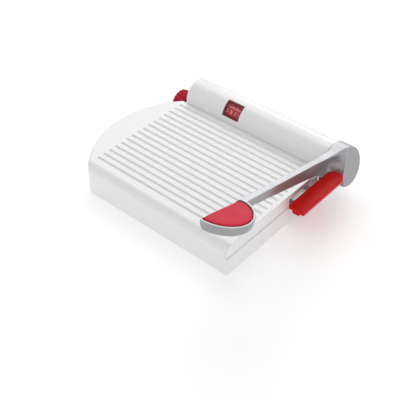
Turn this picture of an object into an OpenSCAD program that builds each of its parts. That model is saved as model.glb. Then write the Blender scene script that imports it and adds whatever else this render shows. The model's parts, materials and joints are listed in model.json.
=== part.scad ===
// Lever cheese slicer: a grooved board, a swinging blade arm, and a stop plate
// that a knob at the left moves sideways to set the slice thickness.
// The origin is on the table under the middle of the whole slicer.
// X runs along the grooves to the blade side, Y runs to the back, Z is up.

/* [Base] */
// Distance from the origin to the right side of the base
base_right = 101; // [98:0.5:112]
// Distance from the origin to the front of the base
base_front = 77; // [74:0.5:92]
// Radius of the rounded left side
round_r = 117; // [112:1:122]
// Centre of the rounded left side, left of the origin
round_x = 16; // [12:1:22]
// Centre of the rounded left side, behind the origin
round_y = 6.5; // [2:0.5:10]
// Height of the cutting surface above the table
board_top = 40; // [38:0.5:46]
// Thickness of the cutting surface
board_plate = 5; // [4:0.5:6]
// Wall thickness of the mouldings
wall = 3; // [2.4:0.2:3.6]
// Radius of the rolled front edge
edge_roll = 8.5; // [6:0.5:10]
// Radius along the rounded left edge
side_round = 2.5; // [1:0.5:4]
// Height of the ledge along the right side
ledge_z = 23.5; // [20:0.5:27]
// Depth of the ledge along the right side
ledge_w = 0.8; // [0.4:0.1:1.2]

/* [Grooves] */
// Distance between grooves
groove_pitch = 9; // [8:0.5:9]
// Number of grooves
groove_count = 16; // [8:1:16]
// Width of a groove
groove_w = 3.2; // [2:0.2:4]
// Depth of a groove
groove_deep = 1.1; // [0.6:0.1:1.6]
// Distance from the front of the base to the first groove
groove_front = 17; // [14:1:20]
// Distance from the right side to the right ends of the grooves
groove_right = 7; // [4:1:20]
// Length of a groove
groove_len = 192; // [150:1:194]

/* [Tube] */
// Outer radius of the tube housing
tube_r = 20.5; // [20:0.1:22]
// Wall of the tube housing
tube_wall = 3; // [2.4:0.2:3.2]
// Distance from the origin back to the tube's axis
tube_y = 104; // [103:0.5:110]
// Height of the tube's axis above the cutting surface
tube_rise = 3.2; // [2:0.2:5]
// Distance from the origin to the tube's left end
tube_left = 97; // [90:1:104]
// Left edge of the scale window, left of the origin
window_left = 40.5; // [38:0.5:44]
// Width of the scale window
window_w = 23.5; // [18:0.5:26]
// Lower edge of the scale window, in degrees above the front
window_low = 13; // [10:1:18]
// Upper edge of the scale window, in degrees above the front
window_high = 71; // [60:1:76]

/* [Arm] */
// Gap between the side of the base and the flat side of the arm
arm_gap = 2; // [1.8:0.1:3]
// Width of the arm's top
beam_w = 7.3; // [6.5:0.1:8]
// Slope of the arm's top edge as it stands
arm_tilt = 12.3; // [8:0.1:16]
// Height of the arm's top edge over the pivot, square to the arm
beam_rise = 15.6; // [14:0.1:17]
// Height of blade that shows under the beam
blade_show = 2.3; // [1.8:0.1:3]
// Radius of the hub
hub_r = 22.5; // [22:0.1:24]
// Distance from the pivot to where the arm's top edge starts to rise to the hub
rise_out = 34; // [30:1:42]
// Length of the hub along the pivot
hub_len = 21.3; // [20:0.1:23]
// Lean of the hub's face from upright
face_lean = 12; // [8:0.5:14]
// Distance from the pivot to the upright front of the hub's face
hub_flat = 12; // [11.5:0.1:12.4]
// Distance from the pivot to the leaning front of the hub's face
hub_cut = 1; // [0.5:0.1:1.5]
// Lean of the hub's leaning front from upright
cut_lean = 32; // [30:1:34]
// Radius of the scoop in front of the hub's upright front
scoop_r = 8; // [7.6:0.1:8.4]
// Radius of the wider scoop in front of the hub's leaning front
flare_r = 30; // [24:1:31]
// Radius of the hollow along the arm's side
hollow_r = 40; // [36:1:60]
// Depth of the hollow along the arm's side
hollow_deep = 4.8; // [3:0.2:5]
// Depth of the hollow's deepest line below the arm's top edge
hollow_low = 19; // [16:0.5:24]

/* [Blade] */
// Thickness of the blade
blade_t = 1.2; // [0.8:0.1:1.4]
// Slope of the cutting edge to the arm's top edge
blade_slope = 3.7; // [3:0.1:4.4]
// Distance from the pivot to the blade's rear end
blade_rear = 25; // [24:0.5:28]
// Distance from the pivot to the blade's front end
blade_front = 171; // [160:1:171]
// Distance of the cutting edge below the pivot, square to the edge
blade_drop = 11; // [10.6:0.1:11.4]
// Height of the beam's top over the blade's hidden back
blade_inset = 3; // [2:0.5:4]

/* [Handle] */
// Distance from the pivot to the middle of the handle
handle_out = 202.5; // [198:0.5:206]
// Radius of the handle
handle_r = 30.3; // [28:0.1:32]
// Height of the handle's rim
handle_h = 13; // [11:0.5:15]
// Slope of the handle to the arm's top edge
handle_tilt = 3.7; // [0:0.1:6]
// Thickness of the handle's rim
rim_w = 2.2; // [1.8:0.1:3]
// Thickness of the red pad
pad_t = 5.6; // [4:0.2:6.4]
// Depth of the pad's face below the rim
pad_sunk = 0.8; // [0.4:0.1:1.4]

/* [Stop plate] */
// Width of the stop plate
stop_w = 19.5; // [19.5:0.5:22]
// Thickness of the stop plate
stop_t = 5; // [4:0.5:5]
// Length of the stop plate
stop_len = 78.5; // [60:0.5:80]
// Distance from the pivot to the rear end of the stop plate
stop_rear = 17; // [17:0.5:20]
// Gap under the stop plate, measured from the cutting surface
stop_lift = 0.5; // [0.3:0.1:1]
// Radius of the stop plate's rear corners
stop_round = 9.5; // [9:0.1:9.6]

/* [Thickness drive] */
// Height of the lead screw above the table
screw_z = 20; // [19:0.5:21]
// Radius of the lead screw
screw_r = 4; // [3:0.5:4.5]
// Radius of the adjusting knob
knob_r = 15.5; // [13:0.5:17]
// Thickness of the adjusting knob
knob_t = 15; // [10:0.5:18]
// Gap between the tube's left end and the knob
knob_gap = 14; // [10:0.5:18]
// Number of ribs on the knob
knob_ribs = 18; // [12:1:24]
// Radius of the two slide rods
rod_r = 3.5; // [3:0.25:4]
// Height of the slide rods above the table
rod_z = 20; // [18:0.5:20]
// Distance between the slide rods
rod_span = 30; // [26:0.5:32]
// Longest travel of the stop plate
stop_travel = 15; // [10:0.5:15]

/* [Fasteners and fits] */
// Radius of the small screws
screw_thread_r = 1.5; // [1.25:0.05:1.75]
// Radius of the small screws' heads
screw_head_r = 2.8; // [2.4:0.1:3]
// Radius of the pivot shaft
shaft_r = 6; // [5:0.25:6.5]
// Wall of the pivot bush
bush_wall = 2; // [1.5:0.25:2.5]
// Running clearance of shafts and rods, on the radius
run_fit = 0.05; // [0.02:0.01:0.08]
// Clearance between parts that only sit together
seat_gap = 0.3; // [0.2:0.05:0.4]
// Radius of a rubber foot
foot_r = 8; // [6:0.5:9]
// Height of the base above the table
foot_show = 1.2; // [1:0.1:2]

/* [Hidden] */
$fn = 96;

far = 400;                       // longer than anything here
eps = 0.01;
parting_z = board_top - edge_roll;
board_side = base_right - ledge_w;
rear_y = tube_y + tube_r;
tube_z = board_top + tube_rise;
tube_front = tube_y - sqrt(tube_r * tube_r - tube_rise * tube_rise);
tube_inner = tube_r - tube_wall;
flange_z = board_top - 4;
arm_x = base_right + arm_gap;
blade_x = arm_x - blade_t;
blade_screw_r = 1.2;
window_ledge = 0.7;
head_h = 1.6;
blade_bevel = 14;
pad_floor = -pad_sunk - pad_t;
web_t = 2.6;
hub_x = board_side + 1.1;
face_x = hub_x + hub_len;
stop_x = arm_x + beam_w + 0.9;
stop_z = board_top + stop_lift;
stop_end = tube_y - stop_rear;
rod_end = stop_x - 2;
leg_w = 8.5;
stop_screw_x = rod_end + 1.3 + leg_w / 2 + 0.2;
stop_start = stop_end - stop_len;
notch_y0 = stop_start + 18.5;
notch_y1 = notch_y0 + rod_span + 22;
notch_x = base_right - 18;
notch_top = board_top - board_plate - 0.5;
rod_wall = 8;
rod_y = [notch_y0 + 11, notch_y0 + 11 + rod_span];
cover_z = foot_show + 2.5;
bar_x = 40;
bar_w = 10;
bar_low = 12;
bar_high = 28;
knob_x = -tube_left - knob_gap - knob_t;
boss_x = -tube_left - knob_gap + 1;
block_x = 84;

post_spots = [[-round_x - 84, round_y - 14], [-round_x - 54, -base_front + 22],
              [base_right - 31, -base_front + 15], [-round_x - 54, tube_front - 22],
              [base_right - 35, round_y]];
foot_spots = [[-round_x - 72, -base_front + 43], [base_right - 17, -base_front + 13],
              [-30, -base_front + 13], [-round_x - 68, tube_front - 14],
              [base_right - 17, rear_y - 14], [-60, rear_y - 14]];
tube_spots = [[-82, -1], [60, -1], [-82, 1], [60, 1]];

// Outline of the base, drawn in by an inset on every side
module outline(inset, back) {
    intersection() {
        translate([-far, -base_front + inset])
            square([far + base_right - inset, base_front - inset + back]);
        union() {
            translate([-round_x, round_y]) circle(round_r - inset);
            translate([-round_x, -far]) square([far, 2 * far]);
        }
    }
}

// Straight rear part of the base under the tube
module rear_outline(inset) {
    translate([-tube_left + inset, tube_front - 6])
        square([tube_left + base_right - 2 * inset, rear_y - inset - tube_front + 6]);
}

// A bar along X with its centre line at y, z
module bar_x_at(x0, x1, y, z, r) {
    translate([x0, y, z]) rotate([0, 90, 0]) cylinder(r = r, h = x1 - x0);
}

// Notch in the right side that the stop bracket moves in
module notch(grow) {
    translate([notch_x - grow, notch_y0 - grow, -1])
        cube([far, notch_y1 - notch_y0 + 2 * grow, notch_top + 1 + grow]);
}

module base_frame() color("white") {
    difference() {
        union() {
            difference() {
                translate([0, 0, foot_show]) linear_extrude(parting_z - foot_show)
                    union() { outline(0, tube_front - 1); rear_outline(0); }
                translate([0, 0, foot_show - 1]) linear_extrude(far)
                    union() { outline(wall, tube_front - wall); rear_outline(wall); }
                // ledge along the right side, where the board's skirt comes down
                translate([base_right - wall - seat_gap, -far / 2, ledge_z])
                    cube([far, far, far]);
            }
            // walls of the rear channel up to the tube, with flanges for its screws
            difference() {
                translate([-tube_left, tube_front - 6, parting_z - 1])
                    cube([tube_left + board_side, rear_y - tube_front + 6,
                          board_top - parting_z + 1]);
                translate([-tube_left + wall, tube_front + 9, parting_z - 2])
                    cube([tube_left + board_side - 2 * wall, rear_y - tube_front - 18, far]);
                translate([-tube_left + wall, tube_front - 6 + wall, parting_z - 2])
                    cube([tube_left + board_side - 2 * wall, rear_y - tube_front + 6 - 2 * wall,
                          flange_z - parting_z + 2]);
                translate([-far, tube_front - 7, board_top - board_plate])
                    cube([2 * far, 7 - 0.1, far]);
            }
            // inner wall of the notch, thick where the rods pass
            intersection() {
                difference() {
                    notch(wall);
                    notch(0);
                }
                translate([0, 0, foot_show]) linear_extrude(notch_top + wall)
                    outline(0, tube_front - 1);
                translate([-far, -far, 0])
                    cube([far + board_side - eps, 2 * far, board_top - board_plate - seat_gap]);
            }
            for (y = rod_y)
                bar_x_at(notch_x - rod_wall, notch_x, y, rod_z, rod_r + 4);
            // ribs that carry the right end of the lead screw
            translate([bar_x + stop_travel + bar_w + 8, tube_y - 9, foot_show + 2.8])
                cube([8, 18, screw_z + 8 - foot_show]);
            translate([bar_x + stop_travel + bar_w + 8, tube_y - 9, foot_show + 2.8])
                cube([wall, rear_y - tube_y + 9 - 1, 16]);
            // boss for the left end of the lead screw, out to the knob
            bar_x_at(boss_x, -tube_left + 11, tube_y, screw_z, screw_r + 5);
            // long stiffening ribs
            for (x = [-40, 10])
                translate([x, -base_front + 1, foot_show + 2.8])
                    cube([2.4, 60, parting_z - foot_show - 4]);
        }
        // seats of the bushes
        for (y = rod_y)
            bar_x_at(notch_x - rod_wall - 1, notch_x + 1, y, rod_z, rod_r + 2);
        bar_x_at(-far, -tube_left + 12, tube_y, screw_z, screw_r + 2);
        bar_x_at(bar_x + stop_travel + bar_w + 7, bar_x + stop_travel + bar_w + 17,
                 tube_y, screw_z, screw_r + 2);
        notch(0);
        // seat of the pivot bush in the right end wall
        bar_x_at(block_x, far, tube_y, tube_z, shaft_r + bush_wall);
        // holes for the tube's screws
        for (s = tube_spots)
            translate([s[0], tube_y + s[1] * (tube_inner - 4), flange_z - 1])
                cylinder(r = screw_thread_r + 0.2, h = 8);
    }
}

// One groove with round ends
module groove() {
    r = (groove_w * groove_w / 4 + groove_deep * groove_deep) / (2 * groove_deep);
    translate([0, 0, r - groove_deep]) {
        rotate([0, 90, 0]) cylinder(r = r, h = groove_len, $fn = 48);
        sphere(r = r, $fn = 48);
        translate([groove_len, 0, 0]) sphere(r = r, $fn = 48);
    }
}

module cutting_board() color("white") {
    difference() {
        union() {
            // plate and skirt with the rolled front edge
            difference() {
                intersection() {
                    translate([-far, -far, parting_z])
                        cube([far + board_side, far + tube_front - seat_gap, edge_roll]);
                    union() {
                        translate([-far, -base_front + edge_roll, 0])
                            cube([2 * far, far, board_top]);
                        translate([-far, -base_front + edge_roll, parting_z])
                            rotate([0, 90, 0]) cylinder(r = edge_roll, h = 2 * far);
                    }
                    union() {
                        translate([-round_x, -far / 2, 0]) cube([far, far, board_top]);
                        translate([-round_x, round_y, 0]) rotate_extrude($fn = 180) union() {
                            square([round_r - side_round, board_top]);
                            square([round_r, board_top - side_round]);
                            translate([round_r - side_round, board_top - side_round])
                                circle(side_round, $fn = 48);
                        }
                    }
                }
                // hollow under the plate
                translate([0, 0, parting_z - 1])
                    linear_extrude(edge_roll - board_plate + 1)
                        outline(wall + seat_gap, tube_front - seat_gap + 1);
            }
            // skirt down the right side to the ledge, with its front corner below the roll
            translate([board_side - wall + ledge_w, -base_front + edge_roll, ledge_z])
                cube([wall - ledge_w, tube_front - 6 - seat_gap + base_front - edge_roll,
                      board_top - ledge_z - 2]);
            translate([board_side - wall + ledge_w, -base_front, ledge_z])
                cube([wall - ledge_w, edge_roll + 1, parting_z - ledge_z]);
            // posts that take the cover screws
            for (p = post_spots)
                translate([p[0], p[1], cover_z]) cylinder(r = 4, h = board_top - cover_z - 2);
        }
        for (i = [0:groove_count - 1])
            translate([base_right - groove_right - groove_len,
                       -base_front + groove_front + i * groove_pitch, board_top])
                groove();
        for (p = post_spots)
            translate([p[0], p[1], 0]) cylinder(r = screw_thread_r, h = cover_z + 14);
        // clearance over the frame's rear rail and the notch
        translate([-far, tube_front - 6 - seat_gap, 0])
            cube([2 * far, far, board_top - board_plate]);
        translate([notch_x - wall - 1, notch_y0 - wall - 1, 0])
            cube([far, notch_y1 - notch_y0 + 2 * wall + 2, board_top - board_plate]);
    }
}

module bottom_cover() color("gainsboro") {
    difference() {
        translate([0, 0, foot_show]) linear_extrude(cover_z - foot_show) union() {
            outline(wall + seat_gap, tube_front - wall - 1);
            rear_outline(wall + seat_gap);
        }
        translate([notch_x - rod_wall - wall, notch_y0 - wall - seat_gap, 0])
            cube([far, notch_y1 - notch_y0 + 2 * (wall + seat_gap), far]);
        for (p = foot_spots)
            translate([p[0], p[1], -1]) cylinder(r = foot_r + 0.1, h = 1 + 2 * foot_show);
        for (p = post_spots) {
            translate([p[0], p[1], -1]) cylinder(r = screw_thread_r + 0.2, h = 10);
            translate([p[0], p[1], -1]) cylinder(r = screw_head_r + 0.2, h = foot_show + 2.5);
        }
    }
}

module rubber_feet() color("dimgray")
    for (p = foot_spots)
        translate([p[0], p[1], 0]) {
            cylinder(r1 = foot_r - 0.8, r2 = foot_r, h = 0.8);
            translate([0, 0, 0.8]) cylinder(r = foot_r, h = 2 * foot_show - 0.8);
        }

// A socket screw that points up, its head's underside at the origin
module screw_up(length) {
    difference() {
        translate([0, 0, -head_h]) cylinder(r = screw_head_r, h = head_h, $fn = 32);
        translate([0, 0, -head_h - 1])
            cylinder(r = 0.5 * screw_head_r, h = 0.6 * head_h + 1, $fn = 6);
    }
    cylinder(r = screw_thread_r, h = length, $fn = 32);
}

module cover_screws() color("silver")
    for (p = post_spots)
        translate([p[0], p[1], foot_show + 1.5]) screw_up(13);

// Cylinder shell sector about the tube's axis, between two angles above the front
module tube_sector(r_out, r_in, x0, x1, a0, a1) {
    translate([x0, tube_y, tube_z]) rotate([0, 90, 0]) rotate([0, 0, 180]) linear_extrude(x1 - x0)
        intersection() {
            difference() { circle(r_out); circle(r_in); }
            polygon([[0, 0], for (i = [0:4])
                let (a = a0 + (a1 - a0) * i / 4)
                2 * r_out * [sin(a), cos(a)]]);
        }
}

module tube_housing() color("white") {
    difference() {
        union() {
            difference() {
                union() {
                    bar_x_at(-tube_left + 3, board_side, tube_y, tube_z, tube_r);
                    translate([-tube_left + 3, tube_y, tube_z]) rotate([0, 90, 0])
                        rotate_extrude() union() {
                            translate([tube_r - 3, 0]) circle(3, $fn = 48);
                            translate([0, -3]) square([tube_r - 3, 6]);
                        }
                }
                bar_x_at(-tube_left + wall, far, tube_y, tube_z, tube_inner);
            }
            // bosses for the screws from below
            intersection() {
                bar_x_at(-tube_left, board_side, tube_y, tube_z, tube_r - 1);
                for (s = tube_spots)
                    translate([s[0], tube_y + s[1] * (tube_inner - 4), board_top])
                        cylinder(r = 3.4, h = 14);
            }
        }
        translate([-far, -far, -1]) cube([2 * far, 2 * far, board_top + 1]);
        for (s = tube_spots)
            translate([s[0], tube_y + s[1] * (tube_inner - 4), 0])
                cylinder(r = screw_thread_r, h = board_top + 9);
        tube_sector(tube_r + 2, tube_r - 1.4, -window_left, window_w - window_left,
                    window_low, window_high);
        tube_sector(tube_r + 2, 1, window_ledge - window_left,
                    window_w - window_left - window_ledge, window_low + 2, window_high - 2);
        bar_x_at(-far, 0, tube_y, tube_z, tube_inner - 4);
    }
}

module tube_end_cap() color("white")
    intersection() {
        union() {
            bar_x_at(-tube_left + 1, -tube_left + wall + 2, tube_y, tube_z, tube_inner - 4.2);
            bar_x_at(-tube_left + wall + 0.1, -tube_left + wall + 2, tube_y, tube_z,
                     tube_inner - seat_gap);
        }
        translate([-far, -far, board_top]) cube(2 * far);
    }

module scale_window() color([0.9, 0.9, 0.95, 0.4])
    tube_sector(tube_r, tube_r - 1.3, 0.1 - window_left, window_w - window_left - 0.1,
                window_low + 0.4, window_high - 0.4);

module tube_screws() color("silver")
    for (s = tube_spots)
        translate([s[0], tube_y + s[1] * (tube_inner - 4), flange_z]) screw_up(10);

module bearing_block() color("gainsboro")
    difference() {
        union() {
            intersection() {
                bar_x_at(block_x, board_side, tube_y, tube_z, tube_inner - 0.1);
                translate([-far, -far, board_top]) cube(2 * far);
            }
            translate([block_x, tube_y - shaft_r - bush_wall - 1.5, tube_z - tube_inner + 1])
                cube([board_side - block_x - wall - seat_gap, 2 * (shaft_r + bush_wall + 1.5),
                      tube_inner]);
        }
        bar_x_at(0, far, tube_y, tube_z, shaft_r + bush_wall);
    }

module pivot_bush() color("goldenrod")
    difference() {
        bar_x_at(block_x, board_side, tube_y, tube_z, shaft_r + bush_wall);
        bar_x_at(0, far, tube_y, tube_z, shaft_r + run_fit);
    }

module friction_washer() color("black")
    difference() {
        bar_x_at(board_side, board_side + 0.9, tube_y, tube_z, tube_inner - 3);
        bar_x_at(0, far, tube_y, tube_z, shaft_r + 0.3);
    }

// A plain sleeve bush along X
module sleeve(x0, x1, y, z, r) {
    difference() {
        bar_x_at(x0, x1, y, z, r + 2);
        bar_x_at(-far, far, y, z, r + run_fit);
    }
}

module screw_bush_left() color("ivory")
    sleeve(boss_x, -tube_left + 11, tube_y, screw_z, screw_r);

module screw_bush_right() color("ivory")
    sleeve(bar_x + stop_travel + bar_w + 8, bar_x + stop_travel + bar_w + 16,
           tube_y, screw_z, screw_r);

module rod_bushes() color("ivory")
    for (y = rod_y)
        sleeve(notch_x - rod_wall, notch_x, y, rod_z, rod_r);

// Places a child from the arm's own frame: forward along the arm, up square to it
module on_arm() {
    translate([0, tube_y, tube_z]) rotate([-arm_tilt, 0, 0]) mirror([0, 1, 0]) children();
}

// Height of the cutting edge in the arm's frame, at a distance from the pivot
function edge_at(u) = u * tan(blade_slope) - blade_drop / cos(blade_slope);

// Side view of the beam, forward along X and up along Y of the sketch
module beam_side() {
    front = handle_out - handle_r + 4;
    // the top edge rises to the hub along the line that touches its round
    touch = atan2(beam_rise, rise_out) + acos(hub_r / norm([rise_out, beam_rise]));
    polygon([[0, 0], hub_r * [cos(touch), sin(touch)], [rise_out, beam_rise],
             [front, beam_rise], [front, edge_at(front) + blade_show],
             [0, edge_at(0) + blade_show]]);
}

// Extrudes a side view across X
module across(x0, x1) {
    translate([x0, 0, 0]) rotate([90, 0, 90]) linear_extrude(x1 - x0) children();
}

// Outline of the handle seen from above: a half disc cut off flat at the arm's left face
module handle_outline(inset) {
    intersection() {
        translate([arm_x + 1, 0]) circle(handle_r - inset, $fn = 120);
        translate([arm_x + inset * 0.4, -far]) square(2 * far);
    }
}

// Places a child in the handle's own frame, its rim's top at height zero
module on_handle() {
    on_arm() translate([0, handle_out - handle_r, beam_rise]) rotate([handle_tilt, 0, 0])
        translate([0, handle_r, 0]) children();
}

// Room in front of the hub's face, at a distance from the pivot, with a round of radius r
module scoop(distance, r) {
    translate([arm_x + beam_w, -distance - r, -hub_r - 1])
        linear_extrude(2 * hub_r + 2) union() {
            translate([0, -hub_r]) square([far, hub_r]);
            translate([r, -eps]) square([far, r + eps]);
            translate([r, 0]) circle(r);
        }
}

module arm() color("silver")
    difference() {
        union() {
            difference() {
                on_arm() across(arm_x, arm_x + beam_w) beam_side();
                // long hollow along the right side
                on_arm() translate([arm_x + beam_w + hollow_r - hollow_deep, 10,
                                    beam_rise - hollow_low])
                    rotate([-90, 0, 0]) cylinder(r = hollow_r, h = far);
            }
            difference() {
                bar_x_at(hub_x, face_x + hub_r, tube_y, tube_z, hub_r);
                translate([face_x, tube_y, tube_z]) rotate([0, -face_lean, 0])
                    translate([0, -far / 2, -far / 2]) cube(far);
            }
            on_handle() translate([0, 0, -handle_h]) linear_extrude(handle_h)
                handle_outline(0);
        }
        // scoops in front of the hub's face
        translate([0, tube_y, tube_z]) {
            scoop(hub_flat, scoop_r);
            rotate([-cut_lean, 0, 0]) scoop(hub_cut, flare_r);
        }
        // pocket of the pad, relief below it and holes for its screws
        on_handle() {
            translate([0, 0, pad_floor]) linear_extrude(far) handle_outline(rim_w);
            translate([0, 0, -handle_h - 1])
                linear_extrude(handle_h + 1 + pad_floor - web_t) handle_outline(rim_w + 0.8);
            for (s = pad_spots())
                translate([s[0], s[1], -handle_h]) cylinder(r = screw_thread_r + 0.2, h = far);
        }
        // seat of the pivot shaft
        bar_x_at(0, face_x - 5, tube_y, tube_z, shaft_r);
        // tapped holes of the blade's screws
        for (s = blade_spots()) on_arm()
            translate([arm_x - 1, s[0], s[1]]) rotate([0, 90, 0])
                cylinder(r = blade_screw_r, h = 5, $fn = 32);
    }

function pad_spots() = [for (s = [-1, 1]) [arm_x + 0.46 * handle_r, 0.4 * s * handle_r]];

// Side view of the blade
module blade_outline() {
    polygon([[blade_rear, edge_at(blade_rear)], [blade_front, edge_at(blade_front)],
             [blade_front, beam_rise - blade_inset], [blade_rear, beam_rise - blade_inset]]);
}

function blade_spots() = [for (t = [0.1, 0.5, 0.9])
    [blade_rear + t * (blade_front - blade_rear), beam_rise - blade_inset - 2.6]];

module cutting_blade() color("gainsboro")
    difference() {
        on_arm() across(blade_x, arm_x) blade_outline();
        // bevel that leaves the cutting edge on the board's side
        on_arm() rotate([blade_slope, 0, 0]) translate([blade_x + 0.1, -far / 2, -blade_drop])
            rotate([0, -blade_bevel, 0]) translate([0, 0, -far / 2]) cube([far, far, far / 2]);
        for (s = blade_spots()) on_arm()
            translate([blade_x - 1, s[0], s[1]]) rotate([0, 90, 0])
                cylinder(r = blade_screw_r, h = 5, $fn = 32);
    }

module blade_screws() color("silver")
    for (s = blade_spots()) on_arm()
        translate([blade_x - 0.5, s[0], s[1]]) rotate([0, 90, 0]) {
            cylinder(r = 2.2, h = 0.5, $fn = 32);
            cylinder(r = blade_screw_r, h = blade_t + 3.5, $fn = 32);
        }

module handle_pad() color("crimson")
    on_handle() difference() {
        translate([0, 0, pad_floor]) linear_extrude(pad_t) handle_outline(rim_w + 0.2);
        for (s = pad_spots())
            translate([s[0], s[1], pad_floor - 1]) cylinder(r = screw_thread_r, h = pad_t - 0.5);
    }

module pad_screws() color("silver")
    for (s = pad_spots())
        on_handle() translate([s[0], s[1], pad_floor - web_t]) screw_up(web_t + pad_t - 2);

module pivot_shaft() color("silver")
    bar_x_at(block_x - 9, face_x - 5, tube_y, tube_z, shaft_r);

module spring_washer() color("silver")
    difference() {
        bar_x_at(block_x - 1.8, block_x - 0.2, tube_y, tube_z, shaft_r + 4);
        bar_x_at(0, far, tube_y, tube_z, shaft_r);
    }

module lock_nut() color("silver")
    difference() {
        translate([block_x - 7.8, tube_y, tube_z]) rotate([0, 90, 0])
            cylinder(r = shaft_r + 4.5, h = 6, $fn = 6);
        bar_x_at(0, far, tube_y, tube_z, shaft_r);
    }

module adjusting_knob() color("crimson")
    difference() {
        translate([knob_x, tube_y, screw_z]) rotate([0, 90, 0]) rotate_extrude()
            polygon([[0, 0], [knob_r - 2.5, 0], [knob_r, 2], [knob_r, knob_t - 2],
                     [knob_r - 2.5, knob_t], [0, knob_t]]);
        // grip grooves between the ribs
        for (i = [0:knob_ribs - 1])
            translate([knob_x - 1, tube_y, screw_z]) rotate([i * 360 / knob_ribs, 0, 0])
                translate([0, knob_r + 0.4, 0]) rotate([0, 90, 0])
                    cylinder(r = 1.7, h = knob_t + 2, $fn = 24);
        bar_x_at(knob_x + 3, 0, tube_y, screw_z, screw_r);
        bar_x_at(knob_x - 1, knob_x + 4, tube_y, screw_z, screw_thread_r + 0.2);
    }

module lead_screw() color("silver")
    difference() {
        bar_x_at(knob_x + 3, bar_x + stop_travel + bar_w + 17, tube_y, screw_z, screw_r);
        bar_x_at(knob_x, knob_x + 12, tube_y, screw_z, screw_thread_r);
    }

module knob_screw() color("silver")
    translate([knob_x, tube_y, screw_z]) rotate([0, 90, 0]) screw_up(12);

module thrust_collar() color("silver")
    difference() {
        bar_x_at(-tube_left + 11.2, -tube_left + 15, tube_y, screw_z, screw_r + 3);
        bar_x_at(-far, far, tube_y, screw_z, screw_r);
    }

// Plan of the stop plate: square in front, rounded behind
module stop_plan() {
    translate([stop_x, stop_start]) square([stop_w, stop_len - stop_round]);
    translate([stop_x + stop_round, stop_start]) square([stop_w - 2 * stop_round, stop_len]);
    for (x = [stop_x + stop_round, stop_x + stop_w - stop_round])
        translate([x, stop_end - stop_round]) circle(stop_round);
}

module stop_plate() color("firebrick")
    difference() {
        translate([0, 0, stop_z]) linear_extrude(stop_t) union() stop_plan();
        for (y = rod_y)
            translate([stop_screw_x, y, stop_z - 1]) cylinder(r = screw_thread_r, h = 4);
    }

module stop_bracket() color("firebrick")
    difference() {
        union() {
            translate([base_right + 1.5, rod_y[0] - 7, rod_z - 6])
                cube([rod_end + 2 - base_right - 1.5, rod_span + 14, 14]);
            // leg up to the plate, outside the arm's path
            translate([rod_end + 1.3, rod_y[0] - 7, rod_z + 5])
                cube([leg_w, rod_span + 14, stop_z - rod_z - 5]);
        }
        for (y = rod_y) {
            bar_x_at(0, rod_end, y, rod_z, rod_r);
            translate([stop_screw_x, y, 0]) cylinder(r = screw_thread_r + 0.2, h = far);
            translate([stop_screw_x, y, 0]) cylinder(r = screw_head_r + 0.3, h = stop_z - 6);
        }
    }

module stop_screws() color("silver")
    for (y = rod_y) translate([stop_screw_x, y, stop_z - 6]) screw_up(9);

module slide_rods() color("silver")
    for (y = rod_y)
        bar_x_at(bar_x, rod_end, y, rod_z, rod_r);

module slide_carriage() color("dimgray")
    difference() {
        translate([bar_x, rod_y[0] - 7, bar_low])
            cube([bar_w, tube_y + 12 - rod_y[0] + 7, bar_high - bar_low]);
        for (y = rod_y) bar_x_at(0, far, y, rod_z, rod_r);
        bar_x_at(0, far, tube_y, screw_z, screw_r + 3);
        translate([bar_x + bar_w / 2, tube_y, bar_high - 8])
            cylinder(r = screw_thread_r, h = 20);
    }

module drive_nut() color("goldenrod")
    difference() {
        bar_x_at(bar_x, bar_x + bar_w, tube_y, screw_z, screw_r + 3);
        bar_x_at(-far, far, tube_y, screw_z, screw_r + run_fit);
        translate([bar_x + bar_w / 2, tube_y, screw_z + screw_r + 1])
            cylinder(r = screw_thread_r + 0.2, h = 20);
    }

module scale_drum() color("firebrick") {
    foot = 4;
    difference() {
        union() {
            tube_sector(tube_inner - 0.5, tube_inner - 2.5, -window_left - stop_travel - 4,
                        window_w - window_left + 4, -4, 88);
            // web from the drum down to the carriage
            translate([-window_left, tube_y - 3, tube_z + 4])
                cube([window_w + 4, 6, tube_inner - 6]);
            translate([-window_left + window_w, tube_y - 3, bar_high])
                cube([4, 6, tube_z + 10 - bar_high]);
            translate([-window_left + window_w, tube_y - 3, bar_high])
                cube([bar_x + bar_w + window_left - window_w, 6, foot]);
        }
        translate([bar_x + bar_w / 2, tube_y, 0]) cylinder(r = screw_thread_r + 0.2, h = far);
    }
}

module drum_screw() color("silver")
    translate([bar_x + bar_w / 2, tube_y, bar_high + 4]) mirror([0, 0, 1]) screw_up(7);

base_frame();
cutting_board();
bottom_cover();
rubber_feet();
cover_screws();
tube_housing();
tube_end_cap();
scale_window();
tube_screws();
bearing_block();
pivot_bush();
friction_washer();
screw_bush_left();
screw_bush_right();
rod_bushes();
arm();
cutting_blade();
blade_screws();
handle_pad();
pad_screws();
pivot_shaft();
spring_washer();
lock_nut();
adjusting_knob();
lead_screw();
knob_screw();
thrust_collar();
stop_plate();
stop_bracket();
stop_screws();
slide_rods();
slide_carriage();
drive_nut();
scale_drum();
drum_screw();
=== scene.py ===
# %% [markdown]
# # A lever cheese slicer, dressed in Blender
# A white grooved board carries a tube at the back. An arm with a blade swings down from the tube's
# right end, past the board's side, and a red plate beyond it sets how thick a slice comes off. The
# plate is moved by a screw that runs inside the base and ends in a red knob at the left.
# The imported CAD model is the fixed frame. The moulded parts keep their CAD shapes and only get a
# finish. The cast arm, its handle and pad, the plate, the knob and the figures on the scale have
# soft shapes that solids describe badly, so those are worked out here as surfaces.

# %% Load the frame
import json
import math

import bpy
import bmesh
import numpy as np
from mathutils import Matrix, Vector


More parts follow.
